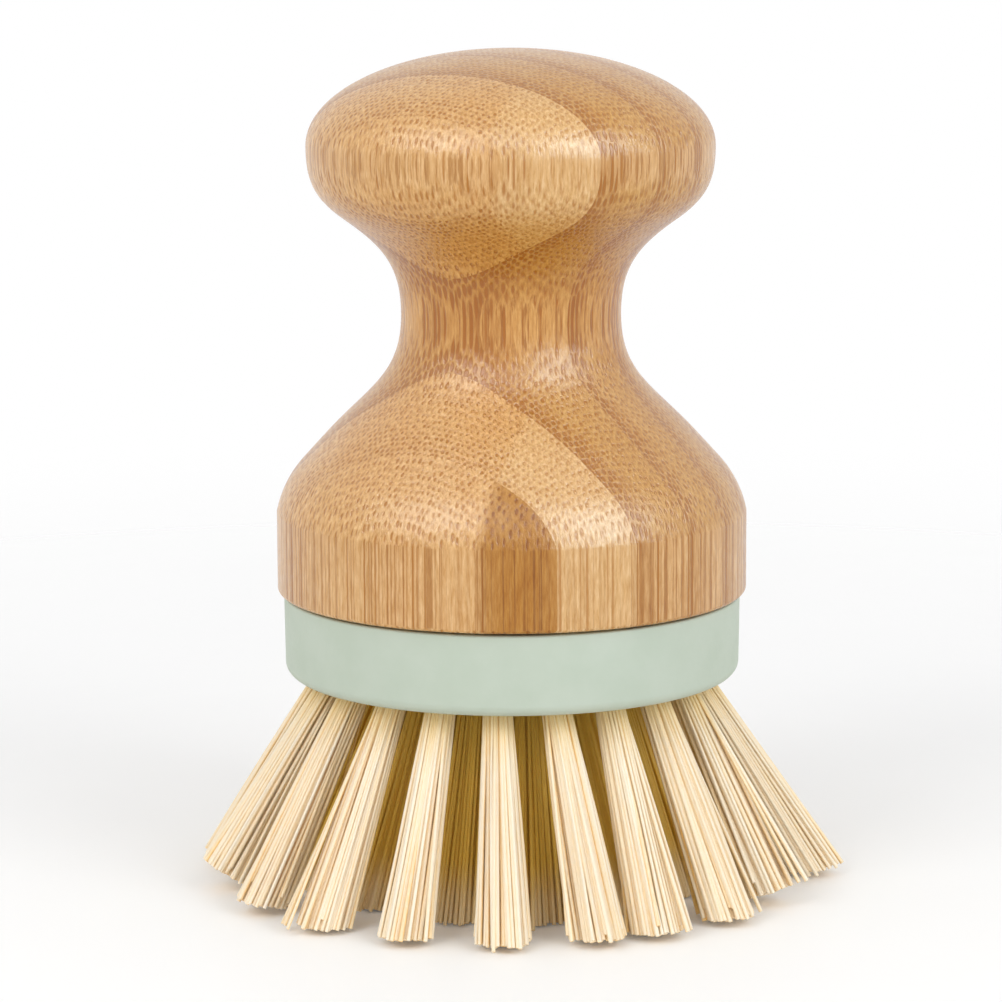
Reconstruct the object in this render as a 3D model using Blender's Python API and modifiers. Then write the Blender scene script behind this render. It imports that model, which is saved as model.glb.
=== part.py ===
"""Dish brush: a turned bamboo handle glued over the spigot of a moulded head with fanned fibre tufts.

Metres, +Z up. The origin lies on the plane where the trimmed bristle tips stand, under the
middle of the handle.
"""

import math

import bmesh
import bpy
from mathutils import Matrix, Vector

# Clearance between pieces that seat on each other, and overrun of every cutting tool
FIT_GAP = 0.0003
TOOL_OVERRUN = 0.002
MERGE_DISTANCE = 0.000001

# Moulded head: a drafted disc with a rounded lower rim, and a barbed spigot on top
HEAD_RADIUS = 0.0253
HEAD_THICKNESS = 0.0089
HEAD_DRAFT = 0.0001
HEAD_RIM_ROUND = 0.0013
HEAD_TOP_CHAMFER = 0.0003
SPIGOT_TOP_CHAMFER = 0.0008
BARB_COUNT = 3
BARB_PITCH = 0.0028
BARB_DEPTH = 0.0005

# Socket drilled up into the handle, with a drill point at its end
SOCKET_RADIUS = 0.010
SOCKET_DEPTH = 0.012
SOCKET_POINT_SLOPE = math.radians(31)
GLUE_ROOM = 0.001

# Turned handle, from its flat base up
BASE_RADIUS = 0.0260
BASE_EDGE_ROUND = 0.0005
BASE_WALL_HEIGHT = 0.0089
SHOULDER_ROUND = 0.0120
SHOULDER_FOOT_SLOPE = math.radians(12)
SHOULDER_SLOPE = math.radians(42.4)
SHOULDER_STRAIGHT = 0.0039
NECK_RADIUS = 0.0121
NECK_HEIGHT = 0.0307
KNOB_RADIUS = 0.0224
KNOB_HEIGHT = 0.04925
KNOB_UNDERSIDE_IN = 0.0039
KNOB_UNDERSIDE_DROP = 0.00776
KNOB_UNDERSIDE_SLOPE = math.radians(54.5)
DOME_HEIGHT = 0.01045
CURVE_PULL_SHARE = 0.43

# Tuft holes: rings round the middle, all aimed at one point on the axis above the head
BRISTLE_REACH = 0.0229
RIM_TO_OUTER_HOLES = 0.0055
AIM_HEIGHT = 0.0357
HOLE_WIDTH_SHARE = 0.63
HOLE_FLOOR = 0.0016
HOLE_SIDES = 10
RING_RADIUS_SHARES = (0, 0.35, 0.67, 1)
RING_COUNTS = (1, 7, 14, 20)
RING_NAMES = ("centre", "inner", "middle", "outer")
RING_TURN = math.radians(-4.6)

# Flat wire anchor across each packed root, its ends biting into the hole's wall
ANCHOR_THICKNESS = 0.0004
ANCHOR_HEIGHT = 0.0016
ANCHOR_BITE = 0.00025
ANCHOR_LIFT = 0.0004

# Tufts: a packed root in each hole, and straight strands that fan out from one point above it
STRAND_RADIUS_SHARE = 0.212
STRAND_SIDES = 3
STRAND_RING_SHARES = (0.35, 0.96)
STRAND_COUNTS = (3, 8)
TUFT_FAN_HEIGHT = 0.0205
ROOT_RECESS = 0.0004
STRAND_HOLD = 0.001
TIP_TRIM = 0.0005

# Facets of the round shapes
HANDLE_STEPS = 48
HEAD_STEPS = 48
CURVE_STEPS = 5
DOME_STEPS = 8
ROUND_STEPS = 3
SMOOTH_ANGLE = math.radians(35)

# Heights and sizes that follow from those above
HEAD_FACE = BRISTLE_REACH
HEAD_TOP = HEAD_FACE + HEAD_THICKNESS
HANDLE_BASE = HEAD_TOP + FIT_GAP
SPIGOT_RADIUS = SOCKET_RADIUS - FIT_GAP
SPIGOT_HEIGHT = SOCKET_DEPTH - GLUE_ROOM
OUTER_RING_RADIUS = HEAD_RADIUS - RIM_TO_OUTER_HOLES
OUTER_LEAN = math.atan2(OUTER_RING_RADIUS, AIM_HEIGHT)
OUTER_HOLE_SPACING = 2 * OUTER_RING_RADIUS * math.sin(math.pi / RING_COUNTS[-1])
HOLE_RADIUS = HOLE_WIDTH_SHARE * OUTER_HOLE_SPACING / 2
HOLE_DEPTH = (HEAD_THICKNESS - HOLE_FLOOR - HOLE_RADIUS * math.sin(OUTER_LEAN)) / math.cos(OUTER_LEAN)
ROOT_RADIUS = HOLE_RADIUS - FIT_GAP
ROOT_TOP = HOLE_DEPTH - FIT_GAP
STRAND_RADIUS = STRAND_RADIUS_SHARE * ROOT_RADIUS
PACK_RADIUS = ROOT_RADIUS * math.cos(math.pi / HOLE_SIDES) - STRAND_RADIUS

# Name, linear colour, roughness and metallic value of each material
BAMBOO = ("lacquered_bamboo", (0.72, 0.46, 0.22), 0.38, 0.0)
MINT_PLASTIC = ("mint_plastic", (0.56, 0.66, 0.53), 0.55, 0.0)
PLANT_FIBRE = ("plant_fibre", (0.76, 0.58, 0.30), 0.6, 0.0)


def clear_scene():
    for obj in list(bpy.data.objects):
        bpy.data.objects.remove(obj, do_unlink=True)


def new_collection(name):
    collection = bpy.data.collections.new(name)
    bpy.context.scene.collection.children.link(collection)
    return collection


def material(spec):
    name, colour, roughness, metallic = spec
    found = bpy.data.materials.get(name)
    if found:
        return found
    made = bpy.data.materials.new(name)
    made.use_nodes = True
    shader = made.node_tree.nodes["Principled BSDF"]
    shader.inputs["Base Color"].default_value = (*colour, 1)
    shader.inputs["Roughness"].default_value = roughness
    shader.inputs["Metallic"].default_value = metallic
    made.diffuse_color = (*colour, 1)
    return made


def add_object(name, mesh, collection):
    obj = bpy.data.objects.new(name, mesh)
    collection.objects.link(obj)
    return obj


def finish_mesh(mesh, spec):
    """Smooth shading with sharp edges kept, and the piece's material."""
    mesh.shade_smooth()
    mesh.set_sharp_from_angle(angle=SMOOTH_ANGLE)
    mesh.materials.clear()
    mesh.materials.append(material(spec))


def bake(obj):
    """Replaces the object's mesh by what its modifiers make of it."""
    bpy.context.view_layer.update()
    graph = bpy.context.evaluated_depsgraph_get()
    baked = bpy.data.meshes.new_from_object(obj.evaluated_get(graph))
    plain = obj.data
    obj.modifiers.clear()
    obj.data = baked
    baked.name = obj.name
    bpy.data.meshes.remove(plain)


def boolean(obj, operation, other):
    step = obj.modifiers.new(other.name, "BOOLEAN")
    step.operation = operation
    step.object = other


def as_cutter(obj):
    obj.hide_render = True
    obj.display_type = "WIRE"
    return obj


def turned(name, profile, steps, collection):
    """Revolves (radius, height) points about Z. They run down the outer side, top to bottom."""
    mesh = bpy.data.meshes.new(name)
    points = [(radius, 0, height) for radius, height in profile]
    mesh.from_pydata(points, [(i, i + 1) for i in range(len(points) - 1)], [])
    obj = add_object(name, mesh, collection)
    screw = obj.modifiers.new("turn", "SCREW")
    screw.axis = "Z"
    screw.steps = steps
    screw.render_steps = steps
    screw.use_merge_vertices = True
    screw.merge_threshold = MERGE_DISTANCE
    bake(obj)
    return obj


def arc(centre, radius, start, end, steps):
    """Points of an arc in (radius, height), its angles measured from straight outward, upwards."""
    angles = [start + (end - start) * i / steps for i in range(steps + 1)]
    return [centre + radius * Vector((math.cos(a), math.sin(a))) for a in angles]


def sweep(start, start_way, end, end_way):
    """Points after start of a smooth curve that leaves and arrives along the given ways."""
    pull = CURVE_PULL_SHARE * (end - start).length
    first, second = start + start_way * pull, end - end_way * pull
    points = []
    for i in range(1, CURVE_STEPS + 1):
        t = i / CURVE_STEPS
        a, b = start.lerp(first, t), first.lerp(second, t)
        c = second.lerp(end, t)
        points.append(a.lerp(b, t).lerp(b.lerp(c, t), t))
    return points


def handle_profile():
    """The lathe's profile in (radius, height): dome, knob, neck, shoulder and base wall.

    The shoulder meets the wall in a faint crease, still leaning by its foot's slope.
    """
    down = Vector((0, -1))
    equator = Vector((KNOB_RADIUS, HANDLE_BASE + KNOB_HEIGHT))
    underside = equator - Vector((KNOB_UNDERSIDE_IN, KNOB_UNDERSIDE_DROP))
    underside_way = Vector((-math.sin(KNOB_UNDERSIDE_SLOPE), -math.cos(KNOB_UNDERSIDE_SLOPE)))
    neck = Vector((NECK_RADIUS, HANDLE_BASE + NECK_HEIGHT))
    shoulder_way = Vector((math.sin(SHOULDER_SLOPE), -math.cos(SHOULDER_SLOPE)))
    foot_way = Vector((math.cos(SHOULDER_FOOT_SLOPE), math.sin(SHOULDER_FOOT_SLOPE)))
    wall_top = Vector((BASE_RADIUS, HANDLE_BASE + BASE_WALL_HEIGHT))
    shoulder_centre = wall_top - SHOULDER_ROUND * foot_way
    shoulder = arc(shoulder_centre, SHOULDER_ROUND, SHOULDER_SLOPE, SHOULDER_FOOT_SLOPE, CURVE_STEPS)
    slope_top = shoulder[0] - shoulder_way * SHOULDER_STRAIGHT
    base_centre = Vector((BASE_RADIUS - BASE_EDGE_ROUND, HANDLE_BASE + BASE_EDGE_ROUND))

    profile = []
    for i in range(DOME_STEPS + 1):
        angle = math.pi / 2 * i / DOME_STEPS
        rise = Vector((KNOB_RADIUS * math.sin(angle), DOME_HEIGHT * math.cos(angle)))
        profile.append(Vector((0, equator.y)) + rise)
    profile[0].x = 0
    profile += sweep(equator, down, underside, underside_way)
    profile += sweep(underside, underside_way, neck, down)
    profile += sweep(neck, down, slope_top, shoulder_way)
    profile += shoulder
    profile += arc(base_centre, BASE_EDGE_ROUND, 0, -math.pi / 2, ROUND_STEPS)
    profile.append(Vector((0, HANDLE_BASE)))
    return profile


def make_handle(collection, cutters):
    handle = turned("bamboo_handle", handle_profile(), HANDLE_STEPS, collection)
    floor = HANDLE_BASE + SOCKET_DEPTH
    drill_profile = (
        (0, floor + SOCKET_RADIUS * math.tan(SOCKET_POINT_SLOPE)),
        (SOCKET_RADIUS, floor),
        (SOCKET_RADIUS, HANDLE_BASE - TOOL_OVERRUN),
        (0, HANDLE_BASE - TOOL_OVERRUN),
    )
    drill = as_cutter(turned("socket_drill", drill_profile, HANDLE_STEPS, cutters))
    boolean(handle, "DIFFERENCE", drill)
    bake(handle)
    finish_mesh(handle.data, BAMBOO)


def head_profile():
    """Spigot with barbs, top face, drafted side, rounded rim and lower face, from the top down."""
    spigot_top = HEAD_TOP + SPIGOT_HEIGHT
    profile = [Vector((0, spigot_top)), Vector((SPIGOT_RADIUS - SPIGOT_TOP_CHAMFER, spigot_top))]
    height = spigot_top - SPIGOT_TOP_CHAMFER
    for _ in range(BARB_COUNT):
        profile.append(Vector((SPIGOT_RADIUS, height)))
        profile.append(Vector((SPIGOT_RADIUS - BARB_DEPTH, height - BARB_DEPTH)))
        height -= BARB_PITCH
    profile.append(Vector((SPIGOT_RADIUS - BARB_DEPTH, HEAD_TOP)))
    profile.append(Vector((HEAD_RADIUS - HEAD_TOP_CHAMFER, HEAD_TOP)))
    profile.append(Vector((HEAD_RADIUS, HEAD_TOP - HEAD_TOP_CHAMFER)))
    rim_centre = Vector((HEAD_RADIUS - HEAD_DRAFT - HEAD_RIM_ROUND, HEAD_FACE + HEAD_RIM_ROUND))
    profile += arc(rim_centre, HEAD_RIM_ROUND, 0, -math.pi / 2, ROUND_STEPS)
    profile.append(Vector((0, HEAD_FACE)))
    return profile


def ring_places(ring):
    """Matrix of each hole of a ring: its origin is the mouth, and +Z runs up along the hole."""
    radius = OUTER_RING_RADIUS * RING_RADIUS_SHARES[ring]
    lean = math.atan2(radius, AIM_HEIGHT)
    for i in range(RING_COUNTS[ring]):
        turn = Matrix.Rotation(RING_TURN + math.tau * i / RING_COUNTS[ring], 4, "Z")
        mouth = Matrix.Translation((radius, 0, HEAD_FACE))
        yield turn @ mouth @ Matrix.Rotation(-lean, 4, "Y")


def add_rod(mesh_builder, radius, sides, start, end, place):
    """A closed prism from start to end, in the frame of place."""
    way = end - start
    aim = way.to_track_quat("Z", "Y").to_matrix().to_4x4()
    bmesh.ops.create_cone(
        mesh_builder,
        cap_ends=True,
        segments=sides,
        radius1=radius,
        radius2=radius,
        depth=way.length,
        matrix=place @ Matrix.Translation((start + end) / 2) @ aim,
    )


def add_anchor(mesh_builder, clearance, place):
    """The anchor's bar, grown by clearance, in the frame of its hole. It points away from the axis."""
    top = ROOT_TOP - ANCHOR_LIFT
    length = 2 * (HOLE_RADIUS + ANCHOR_BITE + clearance)
    size = Matrix.Diagonal(
        (length, ANCHOR_THICKNESS + 2 * clearance, ANCHOR_HEIGHT + 2 * clearance, 1)
    )
    middle = Matrix.Translation((0, 0, top - ANCHOR_HEIGHT / 2))
    bmesh.ops.create_cube(mesh_builder, size=1, matrix=place @ middle @ size)


def mesh_of(name, mesh_builder):
    mesh = bpy.data.meshes.new(name)
    mesh_builder.to_mesh(mesh)
    mesh_builder.free()
    return mesh


def make_head(collection, cutters):
    head = turned("brush_head", head_profile(), HEAD_STEPS, collection)
    mouth, floor = Vector((0, 0, -TOOL_OVERRUN)), Vector((0, 0, HOLE_DEPTH))
    drills, slots = bmesh.new(), bmesh.new()
    for ring in range(len(RING_COUNTS)):
        for place in ring_places(ring):
            add_rod(drills, HOLE_RADIUS, HOLE_SIDES, mouth, floor, place)
            add_anchor(slots, FIT_GAP, place)
    for name, builder in (("tuft_hole_drills", drills), ("anchor_slots", slots)):
        boolean(head, "DIFFERENCE", as_cutter(add_object(name, mesh_of(name, builder), cutters)))
    bake(head)
    finish_mesh(head.data, MINT_PLASTIC)


def strand_roots():
    """Offset of each strand from the tuft's axis at the hole's mouth."""
    for ring, count in enumerate(STRAND_COUNTS):
        radius = PACK_RADIUS * STRAND_RING_SHARES[ring]
        for i in range(count):
            angle = math.tau * (i + ring / 2) / count
            yield Vector((radius * math.cos(angle), radius * math.sin(angle), 0))


def untrimmed_tip(root, way, place):
    """Where a strand ends before the trim, a little below the plane that the brush stands on."""
    start, run = place @ root, place.to_3x3() @ way
    return root - way * (start.z + TIP_TRIM) / run.z


def tuft_mesh(ring, place, trimmer, collection):
    """One tuft in its hole's frame: the packed root joined to its strands, the tips cut flat."""
    name = f"tuft_{RING_NAMES[ring]}"
    fan_point = Vector((0, 0, TUFT_FAN_HEIGHT))
    strands, root_bar, anchor_bar = bmesh.new(), bmesh.new(), bmesh.new()
    for root in strand_roots():
        way = (root - fan_point) / TUFT_FAN_HEIGHT
        start = root - way * (ROOT_RECESS + STRAND_HOLD)
        tip = untrimmed_tip(root, way, place)
        add_rod(strands, STRAND_RADIUS, STRAND_SIDES, start, tip, Matrix())
    tuft = add_object(name, mesh_of(name, strands), collection)
    tuft.matrix_world = place
    bottom, top = Vector((0, 0, ROOT_RECESS)), Vector((0, 0, ROOT_TOP))
    add_rod(root_bar, ROOT_RADIUS, HOLE_SIDES, bottom, top, Matrix())
    add_anchor(anchor_bar, 0, Matrix())
    joined = []
    for builder in (root_bar, anchor_bar):
        joined.append(add_object(name + "_core", mesh_of(name + "_core", builder), collection))
        joined[-1].matrix_world = place
        boolean(tuft, "UNION", joined[-1])
    boolean(tuft, "DIFFERENCE", trimmer)
    bake(tuft)
    mesh = tuft.data
    for spent in (*joined, tuft):
        bpy.data.objects.remove(spent)
    finish_mesh(mesh, PLANT_FIBRE)
    return mesh


def make_tufts(collection, cutters):
    block = bmesh.new()
    side = BRISTLE_REACH + HEAD_RADIUS
    size = Matrix.Diagonal((4 * side, 4 * side, 2 * side, 1))
    bmesh.ops.create_cube(block, size=1, matrix=Matrix.Translation((0, 0, -side)) @ size)
    trimmer = as_cutter(add_object("tip_trimmer", mesh_of("tip_trimmer", block), cutters))
    for ring, count in enumerate(RING_COUNTS):
        places = list(ring_places(ring))
        mesh = tuft_mesh(ring, places[0], trimmer, collection)
        for i, place in enumerate(places):
            name = f"tuft_{RING_NAMES[ring]}" + (f"_{i + 1:02d}" if count > 1 else "")
            tuft = add_object(name, mesh, collection)
            tuft.matrix_world = place


def main():
    clear_scene()
    parts = new_collection("dish_brush")
    cutters = new_collection("cutters")
    make_handle(parts, cutters)
    make_head(parts, cutters)
    make_tufts(parts, cutters)


main()
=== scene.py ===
"""Studio view of the dish brush: a finely turned handle, a moulded head and full fibre tufts."""

import math
import random
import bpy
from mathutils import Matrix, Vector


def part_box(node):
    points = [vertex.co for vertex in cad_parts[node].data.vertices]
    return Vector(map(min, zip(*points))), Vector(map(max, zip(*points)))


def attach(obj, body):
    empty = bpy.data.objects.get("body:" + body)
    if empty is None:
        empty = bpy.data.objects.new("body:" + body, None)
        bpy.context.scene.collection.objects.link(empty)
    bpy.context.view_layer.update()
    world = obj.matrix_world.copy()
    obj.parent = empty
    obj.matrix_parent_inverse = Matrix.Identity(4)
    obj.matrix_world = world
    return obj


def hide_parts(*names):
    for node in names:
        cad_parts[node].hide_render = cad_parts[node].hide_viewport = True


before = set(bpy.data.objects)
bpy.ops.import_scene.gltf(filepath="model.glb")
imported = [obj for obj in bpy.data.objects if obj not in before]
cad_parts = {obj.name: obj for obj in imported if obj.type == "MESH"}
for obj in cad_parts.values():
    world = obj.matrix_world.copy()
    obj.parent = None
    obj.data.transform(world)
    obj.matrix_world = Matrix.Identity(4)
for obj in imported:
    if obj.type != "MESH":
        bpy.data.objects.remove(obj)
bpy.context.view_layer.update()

from types import SimpleNamespace

import bmesh
import bpy
from mathutils import Matrix, Vector

# Camera, fitted to the photograph
VIEW_ELEVATION = math.radians(10)
VIEW_DISTANCE = 0.4732
VIEW_TARGET = Vector((-0.00118, 0, 0.04183))
VIEW_ROLL = math.radians(0.2)
LENS_MM = 153.4
SENSOR_MM = 36
CLIP_START = 0.01

# Light that the white studio sheds, and soft boxes: name, azimuth and elevation in degrees, width
# and height, power, colour, and whether the box sheds light or only shows as a sheen
WALL_LIGHT = 1.03
CEILING_LIGHT = 0.52
WHITE = (1, 1, 1)
LAMPS = (
    ("left", -41, 38, (0.32, 0.32), 1.15, WHITE, True),
    ("right", 47, 35, (0.34, 0.34), 1.1, WHITE, True),
    ("left sheen", -46, 44, (0.40, 0.50), 3.3, (0.56, 0.76, 0.90), False),
    ("right sheen", 49, 31, (0.40, 0.52), 5.8, (0.50, 0.76, 0.92), False),
)
LAMP_DISTANCE = 0.7

# Studio floor: a disc that fades into the white beyond it. Its grey levels are for how it looks,
# and for the light that it sheds near the brush and far from it
FLOOR_SIZE = 0.32
FLOOR_SIDES = 96
FLOOR_DROP = 0.0002
FLOOR_FADE_START = 0.05
FLOOR_FADE_END = 0.95 * FLOOR_SIZE
FLOOR_NEAR = 0.035
FLOOR_FAR = 0.09
FLOOR_SHOWN = (0.95, 0.98)
FLOOR_SHED_NEAR = (0.90, 0.94)
FLOOR_SHED_FAR = 0.60
FLOOR_GLOW = 0.08
FLOOR_SPECK_SCALE = 40

# Turned handle, from its flat base up
BASE_RADIUS = 0.0260
BASE_EDGE_ROUND = 0.0005
BASE_WALL_HEIGHT = 0.0089
SHOULDER_ROUND = 0.0120
SHOULDER_FOOT_SLOPE = math.radians(12)
SHOULDER_SLOPE = math.radians(42.4)
SHOULDER_STRAIGHT = 0.0039
NECK_RADIUS = 0.0121
NECK_HEIGHT = 0.0307
KNOB_RADIUS = 0.0224
KNOB_HEIGHT = 0.04925
KNOB_UNDERSIDE_IN = 0.0039
KNOB_UNDERSIDE_DROP = 0.00776
KNOB_UNDERSIDE_SLOPE = math.radians(54.5)
DOME_HEIGHT = 0.01045
CURVE_PULL = 0.43
SOCKET_RADIUS = 0.010
SOCKET_DEPTH = 0.012
SOCKET_POINT_SLOPE = math.radians(31)

# Moulded head and its tuft holes
FIT_GAP = 0.0003
HEAD_TOP_EDGE = 0.0003
HEAD_DRAFT = 0.0001
HEAD_RIM_ROUND = 0.0013
SPIGOT_FOOT_RADIUS = 0.0092
RIM_TO_OUTER_HOLES = 0.0055
AIM_HEIGHT = 0.0357
HOLE_WIDTH_SHARE = 0.63
HOLE_DEPTH = 0.0071
DRILL_OVERRUN = 0.002
RING_SHARES = {"centre": 0, "inner": 0.35, "middle": 0.67, "outer": 1}
RING_COUNTS = {"centre": 1, "inner": 7, "middle": 14, "outer": 20}
RING_TURN = math.radians(-4.6)

# Fibres of a tuft, thicker in its heart, and thinner at the root than at the tip
FIBRES_IN_TUFT = 160
FIBRE_RADIUS = 0.00022
FIBRE_RADIUS_RANGE = (0.85, 1.15)
HEART_FIBRE_GROWTH = 0.3
FIBRE_ROOT_THINNING = 0.7
FIBRE_SIDES = 6
FIBRE_RINGS = 6
FIBRE_IN_HOLE = 0.002
ROOT_SPREAD = 0.00150
TIP_SPREAD = 0.0029
GOLDEN_ANGLE = math.pi * (3 - math.sqrt(5))

# How the fibres of a tuft stray from an even fan
TURN_JITTER = 0.2
TIP_SPREAD_RANGE = (0.9, 1.1)
TIP_WANDER = 0.0001
BOW = 0.00008
CLUMPS_IN_TUFT = 6
CLUMP_PULL = 0.10
STRAY_CHANCE = 0.025
STRAY_REACH = (0.0004, 0.0022)
TRIM_SPREAD = 0.00016
SHORT_CHANCE = 0.08
SHORT_BY = (0.0004, 0.0016)

# How the tufts stray from an even fan: degrees round the axis, millimetres outwards, and how
# steeply the cut ends rise outwards. The tufts in the photograph have their own values, by their
# place in the outer ring
SWAY_SPREAD = 1.5
OUT_SPREAD = 0.4
TRIM_RISE = 0.25
OUTER_SWAY = {
    11: (1.5, 1.5, 0.6), 12: (2.2, 0.4, 0.25), 13: (1.8, 0, 0.1), 14: (2.2, 0.3, 0.15),
    15: (2.8, 0, 0.1), 16: (2.9, 0, 0.15), 17: (-3.4, 0, 0.15), 18: (-4.0, 0.3, 0.15),
    19: (-6.6, 0, 0.4), 0: (0, 1.5, 0.2),
}

# Tone of a fibre, from pale to golden: by chance, and painted shade towards the tuft's heart and on the
# side of each fibre that faces the heart
TONE_CHANCE = 0.4
HEART_SHADE = 0.5
INNER_SIDE_SHADE = 0.62
INNER_SIDE_START = 0.6

# Steps and edges of the fine surfaces
TURN_STEPS = 192
CURVE_STEPS = 24
DOME_STEPS = 40
BASE_EDGE_STEPS = 8
HEAD_TOP_STEPS = 6
HEAD_RIM_STEPS = 12
DRILL_SIDES = 24
MERGE_DISTANCE = 0.000001
HANDLE_SHARP_ANGLE = math.radians(40)
HEAD_SHARP_ANGLE = math.radians(35)
FIBRE_SHARP_ANGLE = math.radians(65)

# Glued bamboo block: its boards stand upright, and their joints run at this angle in plan. The
# butt joint between boards leans a little as it rises
BOARD_TURN = math.radians(29.3)
BOARD_THICKNESS = 0.0069
BOARD_WIDTH = 0.0215
BOARD_WAVER = 0.0004
BOARD_STAGGER = 0.41
BOARD_CHANCE = 3.0
FIRST_JOINT = -0.0200
BUTT_JOINT = 0.0095
BUTT_JOINT_HEIGHT = 0.045
BUTT_JOINT_LEAN = -0.02
KNOB_START = 0.074
KNOB_FULL = 0.078
# Heights where the painted shade of the waist, under the knob, rises and fades
WAIST_START = 0.054
WAIST_FULL = 0.064
WAIST_FADE = 0.072
WAIST_END = 0.079

# Bundles of dark fibre in the bamboo. They stand on a triangular lattice, and their sizes are
# shares of its pitch. They change near a board's skin, deep in it, where the surface is upright,
# and on the front of the knob
BUNDLE_PITCH = 0.00068
BUNDLE_ROWS = 10.5
ROW_SHARE = 0.866
BUNDLE_DISORDER = 0.38
BUNDLE_RADIUS = 0.225
BUNDLE_NEAR_SKIN = 0.17
BUNDLE_DEEP = 0.05
BUNDLE_UPRIGHT = -0.07
BUNDLE_KNOB_FRONT = -0.15
BUNDLE_SPREAD = 0.10

# Colours of the bamboo
LIGHT_WOOD = (0.715, 0.388, 0.137)
TAN_WOOD = (0.670, 0.350, 0.112)
GOLDEN_WOOD = (0.530, 0.250, 0.044)
UPRIGHT_WOOD = (0.730, 0.435, 0.195)
SKIN_WOOD = (0.50, 0.225, 0.050)
DARK_BOARD = (0.410, 0.160, 0.015)
PALE_BOARD = (0.735, 0.448, 0.188)
STRIPE = (0.37, 0.135, 0.012)
DARK_BOARD_STRIPE = (0.235, 0.072, 0.006)
CLOUD = (0.70, 0.42, 0.160)
GRAIN = (0.45, 0.205, 0.045)
BUNDLE = (0.43, 0.160, 0.010)
SKIN_BUNDLE = (0.39, 0.138, 0.008)
DARK_BOARD_BUNDLE = (0.27, 0.085, 0.006)

# What the colour of the bamboo is multiplied by in small details
PALE_FLECK = (1.14, 1.25, 1.50)
DEEP_FLECK = (0.86, 0.78, 0.60)
BUNDLE_HALO = (1.10, 1.18, 1.30)
# Painted shade in the hollow of the waist, under the knob
WAIST_SHADE = (0.94, 0.82, 0.50)

# Colours of the head and of the fibres
MINT = ((0.508, 0.579, 0.476), (0.538, 0.604, 0.506))
PALE_FIBRE = (0.985, 0.885, 0.715)
TAN_FIBRE = (0.97, 0.695, 0.335)
# Golden end of the tone, reached through its painted shade
SHADED_GOLDEN_FIBRE = (0.99, 0.62, 0.20)
BLEACHED_FIBRE = (0.98, 0.91, 0.79)
# Painted shade deep in the brush and near the head
DEEP_SHADE_FIBRE = (0.84, 0.54, 0.09)

# Fine patterns: how many waves a metre holds, what a pattern that runs up the handle or along
# the fibres squeezes Z by, and how deep each material's relief is
WAVER_SCALE = 60
CLOUD_SCALE = 160
GRAIN_SCALE = 4200
FLECK_SCALE = 3800
LACQUER_SCALE = 900
MOTTLE_SCALE = 180
PLASTIC_GRAIN_SCALE = 2600
PATCH_SCALE = 900
FIBRE_GRAIN_SCALE = 6000
CLOUD_SQUEEZE = 0.25
GRAIN_SQUEEZE = 0.03
FLECK_SQUEEZE = 0.12
FIBRE_SQUEEZE = 0.1
BAMBOO_RELIEF = 0.00008
PLASTIC_RELIEF = 0.00003
FIBRE_RELIEF = 0.00001

# Where fibres get painted shade, golden brown: inside the outer ring's slope, and near the head
DEEP_SHADE_START = -0.0015
DEEP_SHADE_FULL = 0.0055
TIPS_HEIGHT = 0.0003
ABOVE_TIPS_HEIGHT = 0.007
NEAR_HEAD_START = 0.0165
NEAR_HEAD_FULL = 0.0232

BODY = "root"
MM = 0.001
head_low, head_high = (Vector(corner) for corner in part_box("brush_head"))
handle_low = Vector(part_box("bamboo_handle")[0])
HANDLE_BASE = handle_low.z
HEAD_FACE = head_low.z
HEAD_TOP = HANDLE_BASE - FIT_GAP
HEAD_RADIUS = head_high.x
SPIGOT_TOP = head_high.z
OUTER_RADIUS = HEAD_RADIUS - RIM_TO_OUTER_HOLES
OUTER_SLOPE = OUTER_RADIUS / AIM_HEIGHT
HOLE_RADIUS = HOLE_WIDTH_SHARE * OUTER_RADIUS * math.sin(math.pi / RING_COUNTS["outer"])


def new_object(name, data):
    obj = bpy.data.objects.new(name, data)
    bpy.context.scene.collection.objects.link(obj)
    return obj


def dress(obj, nodes, look):
    """Gives a piece its material and its body, and hides the CAD parts that it stands for."""
    obj.data.materials.clear()
    obj.data.materials.append(look)
    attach(obj, BODY)
    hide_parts(*nodes)


def bake(obj):
    """Replaces the object's mesh by what its modifiers make of it."""
    bpy.context.view_layer.update()
    graph = bpy.context.evaluated_depsgraph_get()
    baked = bpy.data.meshes.new_from_object(obj.evaluated_get(graph))
    plain = obj.data
    obj.modifiers.clear()
    obj.data = baked
    bpy.data.meshes.remove(plain)


def smooth(mesh, sharp_angle):
    mesh.shade_smooth()
    mesh.set_sharp_from_angle(angle=sharp_angle)


def mesh_of(name, builder):
    mesh = bpy.data.meshes.new(name)
    builder.to_mesh(mesh)
    builder.free()
    return mesh


def turned(name, profile):
    """Revolves (radius, height) points about Z. They run down the outer side, top to bottom."""
    mesh = bpy.data.meshes.new(name)
    points = [(radius, 0, height) for radius, height in profile]
    mesh.from_pydata(points, [(i, i + 1) for i in range(len(points) - 1)], [])
    obj = new_object(name, mesh)
    screw = obj.modifiers.new("turn", "SCREW")
    screw.steps = screw.render_steps = TURN_STEPS
    screw.use_merge_vertices = True
    screw.merge_threshold = MERGE_DISTANCE
    bake(obj)
    return obj


def arc(centre, radius, start, end, steps):
    """Points of an arc in (radius, height), its angles measured from straight outward, upwards."""
    angles = [start + (end - start) * i / steps for i in range(steps + 1)]
    return [centre + radius * Vector((math.cos(a), math.sin(a))) for a in angles]


def sweep(start, start_way, end, end_way):
    """Points after start of a smooth curve that leaves and arrives along the given ways."""
    pull = CURVE_PULL * (end - start).length
    first, second = start + start_way * pull, end - end_way * pull
    points = []
    for i in range(1, CURVE_STEPS + 1):
        t = i / CURVE_STEPS
        a, b = start.lerp(first, t), first.lerp(second, t)
        c = second.lerp(end, t)
        points.append(a.lerp(b, t).lerp(b.lerp(c, t), t))
    return points


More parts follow.
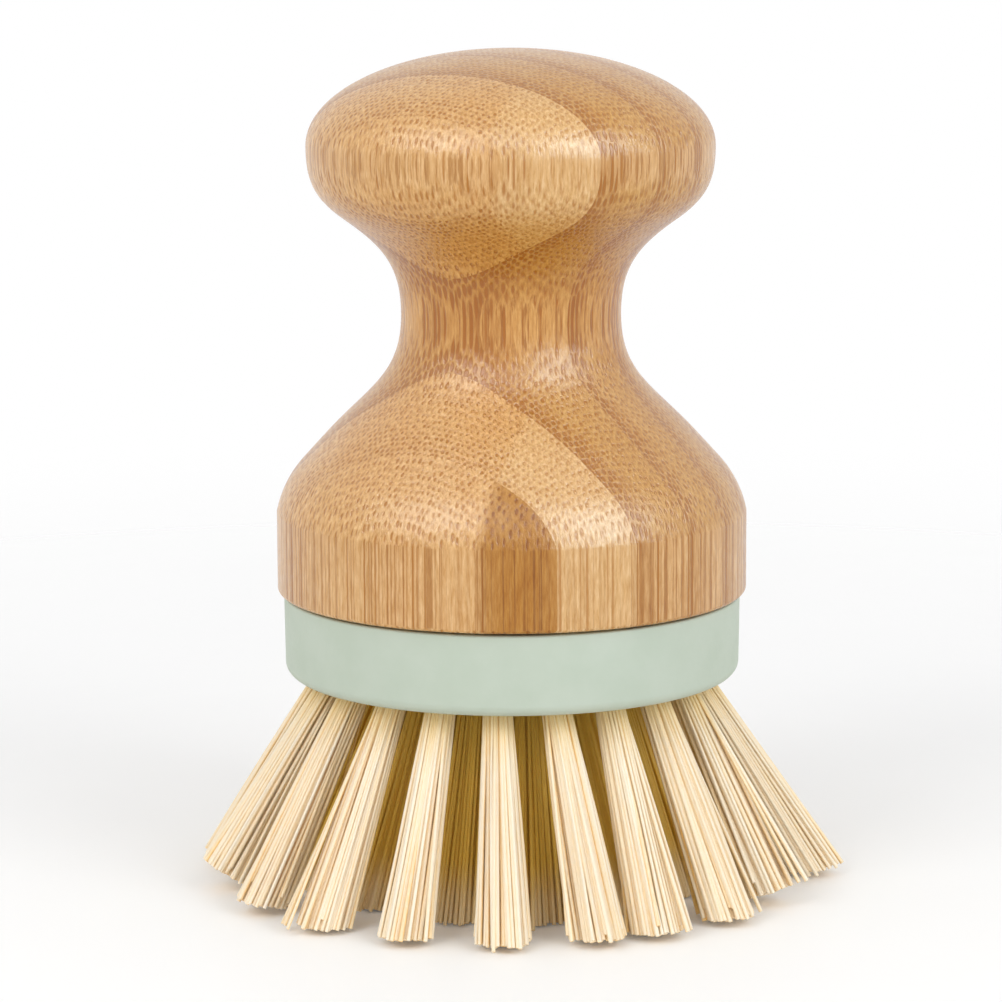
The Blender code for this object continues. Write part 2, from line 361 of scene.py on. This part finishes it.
def handle_profile():
    """The handle in (radius, height): dome, knob, neck, shoulder, base wall and drilled socket."""
    down = Vector((0, -1))
    equator = Vector((KNOB_RADIUS, HANDLE_BASE + KNOB_HEIGHT))
    underside = equator - Vector((KNOB_UNDERSIDE_IN, KNOB_UNDERSIDE_DROP))
    underside_way = Vector((-math.sin(KNOB_UNDERSIDE_SLOPE), -math.cos(KNOB_UNDERSIDE_SLOPE)))
    neck = Vector((NECK_RADIUS, HANDLE_BASE + NECK_HEIGHT))
    shoulder_way = Vector((math.sin(SHOULDER_SLOPE), -math.cos(SHOULDER_SLOPE)))
    foot_way = Vector((math.cos(SHOULDER_FOOT_SLOPE), math.sin(SHOULDER_FOOT_SLOPE)))
    wall_top = Vector((BASE_RADIUS, HANDLE_BASE + BASE_WALL_HEIGHT))
    shoulder_centre = wall_top - SHOULDER_ROUND * foot_way
    shoulder = arc(shoulder_centre, SHOULDER_ROUND, SHOULDER_SLOPE, SHOULDER_FOOT_SLOPE, CURVE_STEPS)
    slope_top = shoulder[0] - shoulder_way * SHOULDER_STRAIGHT
    base_centre = Vector((BASE_RADIUS - BASE_EDGE_ROUND, HANDLE_BASE + BASE_EDGE_ROUND))
    socket_floor = HANDLE_BASE + SOCKET_DEPTH

    profile = []
    for i in range(DOME_STEPS + 1):
        angle = math.pi / 2 * i / DOME_STEPS
        rise = Vector((KNOB_RADIUS * math.sin(angle), DOME_HEIGHT * math.cos(angle)))
        profile.append(Vector((0, equator.y)) + rise)
    profile[0].x = 0
    profile += sweep(equator, down, underside, underside_way)
    profile += sweep(underside, underside_way, neck, down)
    profile += sweep(neck, down, slope_top, shoulder_way)
    profile += shoulder
    profile += arc(base_centre, BASE_EDGE_ROUND, 0, -math.pi / 2, BASE_EDGE_STEPS)
    profile.append(Vector((SOCKET_RADIUS, HANDLE_BASE)))
    profile.append(Vector((SOCKET_RADIUS, socket_floor)))
    profile.append(Vector((0, socket_floor + SOCKET_RADIUS * math.tan(SOCKET_POINT_SLOPE))))
    return profile


def make_handle(look):
    handle = turned("turned_handle", handle_profile())
    smooth(handle.data, HANDLE_SHARP_ANGLE)
    dress(handle, ["bamboo_handle"], look)


def head_profile():
    """The head in (radius, height): a plain spigot, the top face, the side, the rim and the face."""
    profile = [
        Vector((0, SPIGOT_TOP)),
        Vector((SPIGOT_FOOT_RADIUS, SPIGOT_TOP)),
        Vector((SPIGOT_FOOT_RADIUS, HEAD_TOP)),
    ]
    top_edge = Vector((HEAD_RADIUS - HEAD_TOP_EDGE, HEAD_TOP - HEAD_TOP_EDGE))
    profile += arc(top_edge, HEAD_TOP_EDGE, math.pi / 2, 0, HEAD_TOP_STEPS)
    rim_centre = Vector((HEAD_RADIUS - HEAD_DRAFT - HEAD_RIM_ROUND, HEAD_FACE + HEAD_RIM_ROUND))
    profile += arc(rim_centre, HEAD_RIM_ROUND, 0, -math.pi / 2, HEAD_RIM_STEPS)
    profile.append(Vector((0, HEAD_FACE)))
    return profile


def ring_places(ring):
    """Matrix of each hole of a ring: its origin is the mouth, and +Z runs up along the hole."""
    radius = OUTER_RADIUS * RING_SHARES[ring]
    lean = math.atan2(radius, AIM_HEIGHT)
    for i in range(RING_COUNTS[ring]):
        turn = Matrix.Rotation(RING_TURN + math.tau * i / RING_COUNTS[ring], 4, "Z")
        yield turn @ Matrix.Translation((radius, 0, HEAD_FACE)) @ Matrix.Rotation(-lean, 4, "Y")


def make_head(look):
    head = turned("moulded_head", head_profile())
    drills = bmesh.new()
    middle = Matrix.Translation((0, 0, (HOLE_DEPTH - DRILL_OVERRUN) / 2))
    for ring in RING_SHARES:
        for place in ring_places(ring):
            bmesh.ops.create_cone(
                drills,
                cap_ends=True,
                segments=DRILL_SIDES,
                radius1=HOLE_RADIUS,
                radius2=HOLE_RADIUS,
                depth=HOLE_DEPTH + DRILL_OVERRUN,
                matrix=place @ middle,
            )
    cutter = new_object("drills", mesh_of("drills", drills))
    cut = head.modifiers.new("holes", "BOOLEAN")
    cut.object = cutter
    bake(head)
    bpy.data.objects.remove(cutter)
    smooth(head.data, HEAD_SHARP_ANGLE)
    dress(head, ["brush_head"], look)


def trimmed_height(rng, tip, tip_centre, rise):
    """How high above the floor a fibre is cut: uneven, and rising outwards across the tuft."""
    height = abs(rng.gauss(0, TRIM_SPREAD))
    if rng.random() < SHORT_CHANCE:
        height += rng.uniform(*SHORT_BY)
    outward = Vector((tip_centre.x, tip_centre.y, 0)).normalized().dot(tip - tip_centre)
    return height + rise * max(0, outward + TIP_SPREAD)


def fibre_path(rng, place, tip_centre, index, clumps, rise):
    """Points of one fibre, from inside the hole to its cut end."""
    share = math.sqrt((index + 0.5) / FIBRES_IN_TUFT)
    angle = index * GOLDEN_ANGLE + rng.uniform(-TURN_JITTER, TURN_JITTER)
    ray = Vector((math.cos(angle), math.sin(angle), 0))
    axis = place.to_3x3()
    root = place @ (ray * ROOT_SPREAD * share)
    spread = ray * TIP_SPREAD * share * rng.uniform(*TIP_SPREAD_RANGE)
    clump = min(clumps, key=lambda centre: (centre - spread).length)
    spread = spread.lerp(clump, CLUMP_PULL)
    if rng.random() < STRAY_CHANCE:
        spread += ray * rng.uniform(*STRAY_REACH)
    wander = Vector((rng.gauss(0, TIP_WANDER), rng.gauss(0, TIP_WANDER), 0))
    tip = tip_centre + axis @ (spread + wander)
    end_height = trimmed_height(rng, tip, tip_centre, rise)
    tip = root + (tip - root) * ((root.z - end_height) / (root.z - tip.z))
    bow = axis @ Vector((rng.gauss(0, BOW), rng.gauss(0, BOW), 0))
    points = [root + axis @ Vector((0, 0, FIBRE_IN_HOLE))]
    for i in range(FIBRE_RINGS - 1):
        t = i / (FIBRE_RINGS - 2)
        points.append(root.lerp(tip, t) + bow * math.sin(math.pi * t))
    return points


def add_tube(vertices, faces, tones_and_shade, points, radius, tone, twist, heart):
    """A closed tube with flat ends, along the points.

    Its tone holds painted shade: more golden on the side that faces the tuft's heart, a line between
    two points.
    """
    first = len(vertices)
    way = (points[-1] - points[0]).normalized()
    side = way.orthogonal().normalized()
    other = way.cross(side)
    for i, point in enumerate(points):
        wide = radius * (FIBRE_ROOT_THINNING + (1 - FIBRE_ROOT_THINNING) * i / (len(points) - 1))
        outside = point - heart[0].lerp(heart[1], max(0, i - 1) / (len(points) - 2))
        outside = (outside - way * outside.dot(way)).normalized()
        for k in range(FIBRE_SIDES):
            a = twist + math.tau * k / FIBRE_SIDES
            spoke = side * math.cos(a) + other * math.sin(a)
            vertices.append(point + wide * spoke)
            inner_side_shade = min(1, max(0, INNER_SIDE_START - spoke.dot(outside)))
            tones_and_shade.append(tone + INNER_SIDE_SHADE * inner_side_shade)
    for ring in range(len(points) - 1):
        low = first + ring * FIBRE_SIDES
        for k in range(FIBRE_SIDES):
            after = (k + 1) % FIBRE_SIDES
            faces.append((low + k, low + after, low + FIBRE_SIDES + after, low + FIBRE_SIDES + k))
    faces.append(tuple(first + k for k in reversed(range(FIBRE_SIDES))))
    last = len(vertices) - FIBRE_SIDES
    faces.append(tuple(last + k for k in range(FIBRE_SIDES)))


def tuft_tips(rng, ring, i, place):
    """Middle of a tuft's trimmed ends, and how steeply they rise outwards."""
    sway, out, rise = rng.gauss(0, SWAY_SPREAD), rng.gauss(0, OUT_SPREAD), 0
    if ring == "outer":
        sway, out, rise = OUTER_SWAY.get(i, (sway, out, TRIM_RISE))
    mouth = place.translation
    down = place.to_3x3() @ Vector((0, 0, -1))
    centre = mouth - down * (mouth.z / down.z)
    flat = Vector((centre.x, centre.y, 0))
    if flat.length > 0:
        centre += flat.normalized() * out * MM
    return Matrix.Rotation(math.radians(sway), 3, "Z") @ centre, rise


def clump_centres(rng):
    """Places among a tuft's tips, in its hole's frame, that the fibres near them lean to."""
    centres = []
    for _ in range(CLUMPS_IN_TUFT):
        a, reach = rng.uniform(0, math.tau), TIP_SPREAD * math.sqrt(rng.random())
        centres.append(Vector((reach * math.cos(a), reach * math.sin(a), 0)))
    return centres


def tuft_mesh(name, rng, ring, i, place):
    """All fibres of one tuft, with their tones, which hold painted shade, as an attribute."""
    tip_centre, rise = tuft_tips(rng, ring, i, place)
    heart = (place.translation, tip_centre)
    clumps = clump_centres(rng)
    vertices, faces, tones_and_shade = [], [], []
    for index in range(FIBRES_IN_TUFT):
        points = fibre_path(rng, place, tip_centre, index, clumps, rise)
        radius = FIBRE_RADIUS * rng.uniform(*FIBRE_RADIUS_RANGE)
        radius *= 1 + HEART_FIBRE_GROWTH * (1 - index / FIBRES_IN_TUFT)
        # Tone by chance, plus painted shade towards the tuft's heart
        tone = TONE_CHANCE * rng.random() + HEART_SHADE * (1 - index / FIBRES_IN_TUFT)
        twist = rng.random() * math.tau
        add_tube(vertices, faces, tones_and_shade, points, radius, tone, twist, heart)
    mesh = bpy.data.meshes.new(name)
    mesh.from_pydata(vertices, [], faces)
    mesh.attributes.new("tone", "FLOAT", "POINT").data.foreach_set("value", tones_and_shade)
    smooth(mesh, FIBRE_SHARP_ANGLE)
    mesh.update()
    return mesh


def make_tufts(look):
    for ring, count in RING_COUNTS.items():
        for i, place in enumerate(ring_places(ring)):
            name = ring + (f"_{i + 1:02d}" if count > 1 else "")
            rng = random.Random(f"fibres {name}")
            mesh = tuft_mesh(f"fibres_{name}", rng, ring, i, place)
            piece = new_object(f"fibres_{name}", mesh)
            dress(piece, [f"tuft_{name}"], look)


class Look:
    """A material and short ways to add nodes to it. An input that is a socket is linked."""

    def __init__(self, name):
        self.material = bpy.data.materials.new(name)
        self.material.use_nodes = True
        self.tree = self.material.node_tree
        self.shader = self.tree.nodes["Principled BSDF"]

    def put(self, socket, value):
        if isinstance(value, bpy.types.NodeSocket):
            self.tree.links.new(value, socket)
        else:
            socket.default_value = value

    def node(self, kind, inputs=(), **settings):
        made = self.tree.nodes.new(kind)
        for key, value in settings.items():
            setattr(made, key, value)
        for key, value in dict(inputs).items():
            self.put(made.inputs[key], value)
        return made

    def math(self, operation, *values, clamp=False):
        inputs = dict(enumerate(values))
        return self.node("ShaderNodeMath", inputs, operation=operation, use_clamp=clamp).outputs[0]

    def add(self, value, factor, offset):
        """Value times factor, plus offset."""
        return self.math("MULTIPLY_ADD", value, factor, offset)

    def times(self, *values):
        """Product of two or more values."""
        product = values[0]
        for value in values[1:]:
            product = self.math("MULTIPLY", product, value)
        return product

    def vector(self, operation, *values):
        made = self.node("ShaderNodeVectorMath", dict(enumerate(values)), operation=operation)
        return made.outputs["Value" if operation in ("DOT_PRODUCT", "LENGTH") else "Vector"]

    def split(self, vector):
        return self.node("ShaderNodeSeparateXYZ", {0: vector}).outputs

    def join(self, x, y, z=0.0):
        return self.node("ShaderNodeCombineXYZ", {0: x, 1: y, 2: z}).outputs[0]

    def noise(self, vector, scale, detail=2.0, roughness=0.5):
        inputs = {"Vector": vector, "Scale": scale, "Detail": detail, "Roughness": roughness}
        return self.node("ShaderNodeTexNoise", inputs).outputs["Fac"]

    def upright_noise(self, place, squeeze, scale, detail, roughness=0.5):
        """Noise drawn out along Z, whose coordinate is squeezed."""
        return self.noise(self.vector("MULTIPLY", place, (1, 1, squeeze)), scale, detail, roughness)

    def remap(self, value, low, high, to_low=0.0, to_high=1.0, smooth=True):
        inputs = {0: value, 1: low, 2: high, 3: to_low, 4: to_high}
        kind = "SMOOTHSTEP" if smooth else "LINEAR"
        return self.node("ShaderNodeMapRange", inputs, interpolation_type=kind).outputs[0]

    def mix(self, factor, a, b, blend="MIX"):
        made = self.node("ShaderNodeMix", data_type="RGBA", blend_type=blend)
        self.put(made.inputs["Factor"], factor)
        for key, value in (("A", a), ("B", b)):
            socket = [s for s in made.inputs if s.name == key and s.type == "RGBA"][0]
            self.put(socket, (*value, 1) if isinstance(value, tuple) else value)
        return [s for s in made.outputs if s.type == "RGBA"][0]

    def set(self, **values):
        for key, value in values.items():
            self.put(self.shader.inputs[key.replace("_", " ")], value)

    def bump(self, height, distance, strength):
        inputs = {"Height": height, "Distance": distance, "Strength": strength}
        relief = self.node("ShaderNodeBump", inputs).outputs[0]
        self.put(self.shader.inputs["Normal"], relief)
        self.put(self.shader.inputs["Coat Normal"], relief)

    def place(self):
        return self.node("ShaderNodeTexCoord").outputs["Object"]

    def upright(self):
        """1 where the surface stands upright, falling to 0 as it slopes."""
        normal = self.node("ShaderNodeNewGeometry").outputs["Normal"]
        return self.remap(self.math("ABSOLUTE", self.split(normal)[2]), 0.35, 0.05)


def bamboo_boards(look, place):
    """Where a point lies in the glued block, and what kind of board it is in."""
    across = look.vector("DOT_PRODUCT", place, (math.sin(BOARD_TURN), math.cos(BOARD_TURN), 0))
    along = look.vector("DOT_PRODUCT", place, (math.cos(BOARD_TURN), -math.sin(BOARD_TURN), 0))
    height = look.split(place)[2]
    waver = look.math("SUBTRACT", look.noise(look.join(height, across), WAVER_SCALE, 1), 0.5)
    along = look.add(waver, BOARD_WAVER, along)

    rows = look.math("DIVIDE", look.math("SUBTRACT", across, FIRST_JOINT), BOARD_THICKNESS)
    row = look.math("FLOOR", rows)
    depth = look.math("FRACT", rows)
    butt = look.add(look.math("SUBTRACT", height, BUTT_JOINT_HEIGHT), BUTT_JOINT_LEAN, BUTT_JOINT)
    columns = look.math("DIVIDE", look.math("SUBTRACT", along, butt), BOARD_WIDTH)
    stagger = look.times(look.math("MAXIMUM", row, 0.0), BOARD_STAGGER)
    column = look.math("FLOOR", look.math("ADD", columns, stagger))
    chance_place = look.join(row, column, BOARD_CHANCE)
    chance = look.node("ShaderNodeTexWhiteNoise", {"Vector": chance_place}, noise_dimensions="3D")

    # Right of the butt joint, the outermost board is dark and the next is pale
    right = look.remap(columns, -0.04, 0.04)
    outside = look.math("LESS_THAN", rows, 0.0)
    first = look.math("COMPARE", row, 0.0, 0.5)
    knob = look.remap(height, KNOB_START, KNOB_FULL)
    pale = look.times(first, right)
    knob_front = look.times(knob, look.times(pale, look.remap(rows, 0.22, 0.32, 1, 0)))

    # Depth in the board, from its skin. The outermost board's skin isn't in sight, so its depth is
    # fixed, and the boards behind the pale one are golden and the darkest at their skin
    inner = look.add(look.math("SUBTRACT", 0.42, depth), outside, depth)
    golden = look.math("GREATER_THAN", row, 0.5)
    near_skin = look.times(look.remap(inner, 0.0, 0.5, 1, 0), look.add(golden, 0.75, 0.25))
    return SimpleNamespace(
        height=height,
        along=along,
        depth=depth,
        inner=inner,
        tone=chance.outputs["Value"],
        golden=golden,
        dark=look.times(outside, right, look.add(knob, -0.65, 1.0)),
        pale=pale,
        knob_front=knob_front,
        near_skin=look.math("MAXIMUM", near_skin, knob_front),
    )


def bamboo_bundles(look, boards, upright):
    """How dark the bundles are at a point, how far it lies from their edge, and how streaky it is."""
    # Rows of the lattice lie closer together near the outer skin of each board
    skew = look.times(look.math("SUBTRACT", 1.2, look.times(boards.depth, 0.2)), boards.depth)
    v = look.add(boards.tone, 7.0, look.times(skew, BUNDLE_ROWS / ROW_SHARE))
    u = look.math("ADD", look.math("DIVIDE", boards.along, BUNDLE_PITCH), look.times(boards.tone, 31.0))
    lattice = look.join(look.add(v, -0.5, u), v)
    cells = look.node(
        "ShaderNodeTexVoronoi",
        {"Vector": lattice, "Scale": 1.0, "Randomness": BUNDLE_DISORDER},
        voronoi_dimensions="2D",
    )
    away = look.split(look.vector("SUBTRACT", lattice, cells.outputs["Position"]))
    true_u = look.add(away[1], 0.5, away[0])
    true_v = look.times(away[1], ROW_SHARE)
    distance = look.vector("LENGTH", look.join(true_u, true_v))
    own = look.split(cells.outputs["Color"])

    radius = look.add(boards.near_skin, BUNDLE_NEAR_SKIN, BUNDLE_RADIUS)
    radius = look.add(upright, BUNDLE_UPRIGHT, radius)
    radius = look.add(boards.knob_front, BUNDLE_KNOB_FRONT, radius)
    radius = look.add(look.remap(boards.inner, 0.40, 0.8), BUNDLE_DEEP, radius)
    radius = look.add(look.math("SUBTRACT", own[0], 0.5), BUNDLE_SPREAD, radius)
    edge = look.math("SUBTRACT", distance, radius)
    dot = look.remap(edge, -0.11, 0.08, 1, 0)

    # Deep in a board a bundle has a pale heart off its middle, which leaves a crescent
    heart_away = look.join(look.math("SUBTRACT", true_u, 0.11), look.math("ADD", true_v, 0.03))
    heart = look.remap(look.vector("LENGTH", heart_away), 0.07, 0.21, 1, 0)
    heart = look.times(heart, look.remap(boards.inner, 0.25, 0.65, 0.0, 0.9))
    dot = look.math("SUBTRACT", dot, heart, clamp=True)

    strength = look.remap(own[1], 0, 1, 0.50, 1.25, smooth=False)
    strength = look.add(upright, 0.25, look.math("MAXIMUM", strength, boards.near_skin))
    strength = look.times(strength, look.add(boards.pale, -0.35, 1.0))
    dot = look.math("MULTIPLY", dot, look.times(strength, 0.95), clamp=True)
    streak = look.remap(look.noise(look.join(u, v), 1.0, 3, 0.7), 0.51, 0.60)
    streak = look.times(streak, look.add(upright, 0.62, 0.3))
    return dot, edge, streak


def bamboo_ground(look, place, boards, upright, streak, edge, grain, fleck):
    """Colour of the wood between the bundles."""
    cloud = look.upright_noise(place, CLOUD_SQUEEZE, CLOUD_SCALE, 2)
    ground = look.mix(boards.tone, LIGHT_WOOD, TAN_WOOD)
    ground = look.mix(look.times(boards.golden, look.add(upright, -0.55, 0.9)), ground, GOLDEN_WOOD)
    ground = look.mix(look.times(upright, 0.5), ground, UPRIGHT_WOOD)
    ground = look.mix(look.times(boards.near_skin, 0.7), ground, SKIN_WOOD)
    ground = look.mix(look.times(boards.dark, 0.95), ground, DARK_BOARD)
    ground = look.mix(streak, ground, look.mix(boards.dark, STRIPE, DARK_BOARD_STRIPE))
    ground = look.mix(look.times(boards.pale, 0.6), ground, PALE_BOARD)
    ground = look.mix(look.remap(cloud, 0.3, 0.7, 0, 0.25), ground, CLOUD)
    ground = look.mix(look.remap(grain, 0.35, 0.7, 0, 0.35), ground, GRAIN)
    ground = look.mix(look.remap(fleck, 0.5, 0.66), ground, PALE_FLECK, blend="MULTIPLY")
    ground = look.mix(look.remap(fleck, 0.5, 0.34), ground, DEEP_FLECK, blend="MULTIPLY")
    halo = look.times(look.remap(edge, 0.0, 0.07), look.remap(edge, 0.20, 0.10, 1, 0))
    halo = look.times(halo, look.add(upright, -0.6, 0.75))
    return look.mix(halo, ground, BUNDLE_HALO, blend="MULTIPLY")


def bamboo_look():
    """Lacquered bamboo: glued boards with bundles of dark fibre, fine grain and flecks."""
    look = Look("lacquered_bamboo")
    place = look.place()
    upright = look.upright()
    boards = bamboo_boards(look, place)
    dot, edge, streak = bamboo_bundles(look, boards, upright)
    grain = look.upright_noise(place, GRAIN_SQUEEZE, GRAIN_SCALE, 3, 0.6)
    fleck = look.upright_noise(place, FLECK_SQUEEZE, FLECK_SCALE, 3, 0.65)
    ground = bamboo_ground(look, place, boards, upright, streak, edge, grain, fleck)
    bundle = look.mix(boards.near_skin, BUNDLE, SKIN_BUNDLE)
    bundle = look.mix(boards.dark, bundle, DARK_BOARD_BUNDLE)
    colour = look.mix(dot, ground, bundle)

    # Painted shade: darker and more golden in the hollow of the waist, under the knob
    waist_shade = look.remap(boards.height, WAIST_START, WAIST_FULL)
    waist_shade = look.times(waist_shade, look.remap(boards.height, WAIST_FADE, WAIST_END, 1, 0))
    colour = look.mix(look.times(waist_shade, 0.9), colour, WAIST_SHADE, blend="MULTIPLY")

    lacquer = look.noise(place, LACQUER_SCALE, 3, 0.6)
    look.set(Base_Color=colour, Specular_IOR_Level=0.12, Coat_Roughness=0.24)
    look.set(Coat_Weight=look.add(boards.dark, -0.45, 0.90))
    look.set(Roughness=look.remap(lacquer, 0.3, 0.7, 0.32, 0.44))
    relief = look.math("SUBTRACT", look.times(grain, 0.35), look.times(dot, 0.6))
    relief = look.add(lacquer, 0.5, relief)
    relief = look.add(fleck, 1.0, relief)
    look.bump(relief, BAMBOO_RELIEF, 1.0)
    return look.material


def head_look():
    """Matt pale green plastic with a faint mottle."""
    look = Look("mint_plastic")
    place = look.place()
    mottle = look.noise(place, MOTTLE_SCALE, 3, 0.55)
    fine = look.noise(place, PLASTIC_GRAIN_SCALE, 2, 0.5)
    colour = look.mix(look.remap(mottle, 0.3, 0.7), *MINT)
    look.set(Base_Color=colour, Specular_IOR_Level=0.35)
    look.set(Roughness=look.remap(fine, 0.3, 0.7, 0.52, 0.66))
    look.bump(fine, PLASTIC_RELIEF, 0.35)
    return look.material


def fibre_look():
    """Plant fibre: pale where it is bleached, golden by its tone attribute, which holds painted shade,
    and golden brown with painted shade deep in the brush and near the head.
    """
    look = Look("plant_fibre")
    tone = look.node("ShaderNodeAttribute", attribute_name="tone").outputs["Fac"]
    place = look.place()
    x, y, height = look.split(place)
    patch = look.noise(place, PATCH_SCALE, 2, 0.6)
    # Tone by chance, with painted shade towards each tuft's heart and on the fibres' inner sides; its
    # golden end is painted shade
    colour = look.mix(tone, PALE_FIBRE, TAN_FIBRE)
    colour = look.mix(look.remap(tone, 0.7, 1.3), colour, SHADED_GOLDEN_FIBRE)
    colour = look.mix(look.remap(patch, 0.35, 0.75, 0, 0.25), colour, BLEACHED_FIBRE)

    # The outer ring's slope at this height, and how far inside it a point lies
    ring = look.add(height, -OUTER_SLOPE, OUTER_RADIUS + HEAD_FACE * OUTER_SLOPE)
    inside = look.math("SUBTRACT", ring, look.vector("LENGTH", look.join(x, y)))
    # Painted shade deep in the brush, weaker towards the tips, and near the head
    deep_shade = look.remap(inside, DEEP_SHADE_START, DEEP_SHADE_FULL)
    deep_shade = look.times(deep_shade, look.remap(height, TIPS_HEIGHT, ABOVE_TIPS_HEIGHT, 0.35, 1.0))
    near_head_shade = look.remap(height, NEAR_HEAD_START, NEAR_HEAD_FULL, 0.0, 0.55)
    colour = look.mix(look.math("MAXIMUM", deep_shade, near_head_shade), colour, DEEP_SHADE_FIBRE)
    look.set(Base_Color=colour, Specular_IOR_Level=0.18)
    look.set(Roughness=look.remap(patch, 0.3, 0.7, 0.42, 0.58))
    look.bump(look.upright_noise(place, FIBRE_SQUEEZE, FIBRE_GRAIN_SCALE, 2), FIBRE_RELIEF, 0.3)
    return look.material


def sees_studio(tree):
    """1 for rays that show a surface as it looks, and 0 for the light that it sheds."""
    path = tree.nodes.new("ShaderNodeLightPath")
    seen = path.outputs["Is Camera Ray"]
    for kind in ("Is Glossy Ray", "Is Transmission Ray"):
        either = tree.nodes.new("ShaderNodeMath")
        either.operation = "MAXIMUM"
        tree.links.new(seen, either.inputs[0])
        tree.links.new(path.outputs[kind], either.inputs[1])
        seen = either.outputs[0]
    return seen


def grey(level):
    return (level, level, level)


def floor_look():
    """Pale floor that shows paler than the light that it sheds, and fades out towards its rim."""
    look = Look("pale_floor")
    place = look.place()
    reach = look.vector("LENGTH", place)
    speck = look.noise(place, FLOOR_SPECK_SCALE, 3)
    shown = look.mix(speck, *map(grey, FLOOR_SHOWN))
    shed = look.mix(speck, *map(grey, FLOOR_SHED_NEAR))
    shed = look.mix(look.remap(reach, FLOOR_NEAR, FLOOR_FAR), shed, grey(FLOOR_SHED_FAR))
    seen = sees_studio(look.tree)
    look.set(Base_Color=look.mix(seen, shed, shown), Roughness=0.6)
    look.set(Emission_Color=(*WHITE, 1), Emission_Strength=look.times(seen, FLOOR_GLOW))
    look.set(Alpha=look.remap(reach, FLOOR_FADE_START, FLOOR_FADE_END, 1, 0))
    return look.material


def make_floor():
    builder = bmesh.new()
    bmesh.ops.create_circle(builder, cap_ends=True, segments=FLOOR_SIDES, radius=FLOOR_SIZE)
    floor = new_object("floor", mesh_of("floor", builder))
    floor.location.z = -FLOOR_DROP
    floor.data.materials.append(floor_look())


def add_lamp(name, azimuth, elevation, size, power, colour, sheds):
    """A soft box that faces the brush. Azimuth 0 is towards the camera, and positive is right."""
    data = bpy.data.lights.new(name, "AREA")
    data.shape = "RECTANGLE"
    data.size, data.size_y = size
    data.energy = power
    data.color = colour
    lamp = new_object(name, data)
    lamp.visible_diffuse = sheds
    a, e = math.radians(azimuth), math.radians(elevation)
    way = Vector((math.sin(a) * math.cos(e), -math.cos(a) * math.cos(e), math.sin(e)))
    lamp.location = VIEW_TARGET + way * LAMP_DISTANCE
    lamp.rotation_euler = way.to_track_quat("Z", "Y").to_euler()


def make_world():
    """A white studio: its light falls off from the walls to the ceiling, but it shows white."""
    world = bpy.data.worlds.new("studio")
    bpy.context.scene.world = world
    world.use_nodes = True
    tree = world.node_tree
    background = tree.nodes["Background"]
    background.inputs["Color"].default_value = (*WHITE, 1)
    place = tree.nodes.new("ShaderNodeTexCoord")
    axes = tree.nodes.new("ShaderNodeSeparateXYZ")
    shed = tree.nodes.new("ShaderNodeMapRange")
    shed.inputs["To Min"].default_value = WALL_LIGHT
    shed.inputs["To Max"].default_value = CEILING_LIGHT
    level = tree.nodes.new("ShaderNodeMapRange")
    level.inputs["To Max"].default_value = 1.0
    tree.links.new(place.outputs["Generated"], axes.inputs[0])
    tree.links.new(axes.outputs["Z"], shed.inputs["Value"])
    tree.links.new(shed.outputs[0], level.inputs["To Min"])
    tree.links.new(sees_studio(tree), level.inputs["Value"])
    tree.links.new(level.outputs[0], background.inputs["Strength"])


def make_camera():
    data = bpy.data.cameras.new("camera")
    data.lens = LENS_MM
    data.sensor_width = SENSOR_MM
    data.clip_start = CLIP_START
    camera = new_object("camera", data)
    way = Vector((0, -math.cos(VIEW_ELEVATION), math.sin(VIEW_ELEVATION)))
    camera.location = VIEW_TARGET + way * VIEW_DISTANCE
    aim = way.to_track_quat("Z", "Y").to_matrix().to_4x4()
    camera.rotation_euler = (aim @ Matrix.Rotation(-VIEW_ROLL, 4, "Z")).to_euler()
    bpy.context.scene.camera = camera


make_camera()
make_world()
make_floor()
for lamp in LAMPS:
    add_lamp(*lamp)
make_handle(bamboo_look())
make_head(head_look())
make_tufts(fibre_look())
bpy.context.scene.view_settings.view_transform = "Standard"
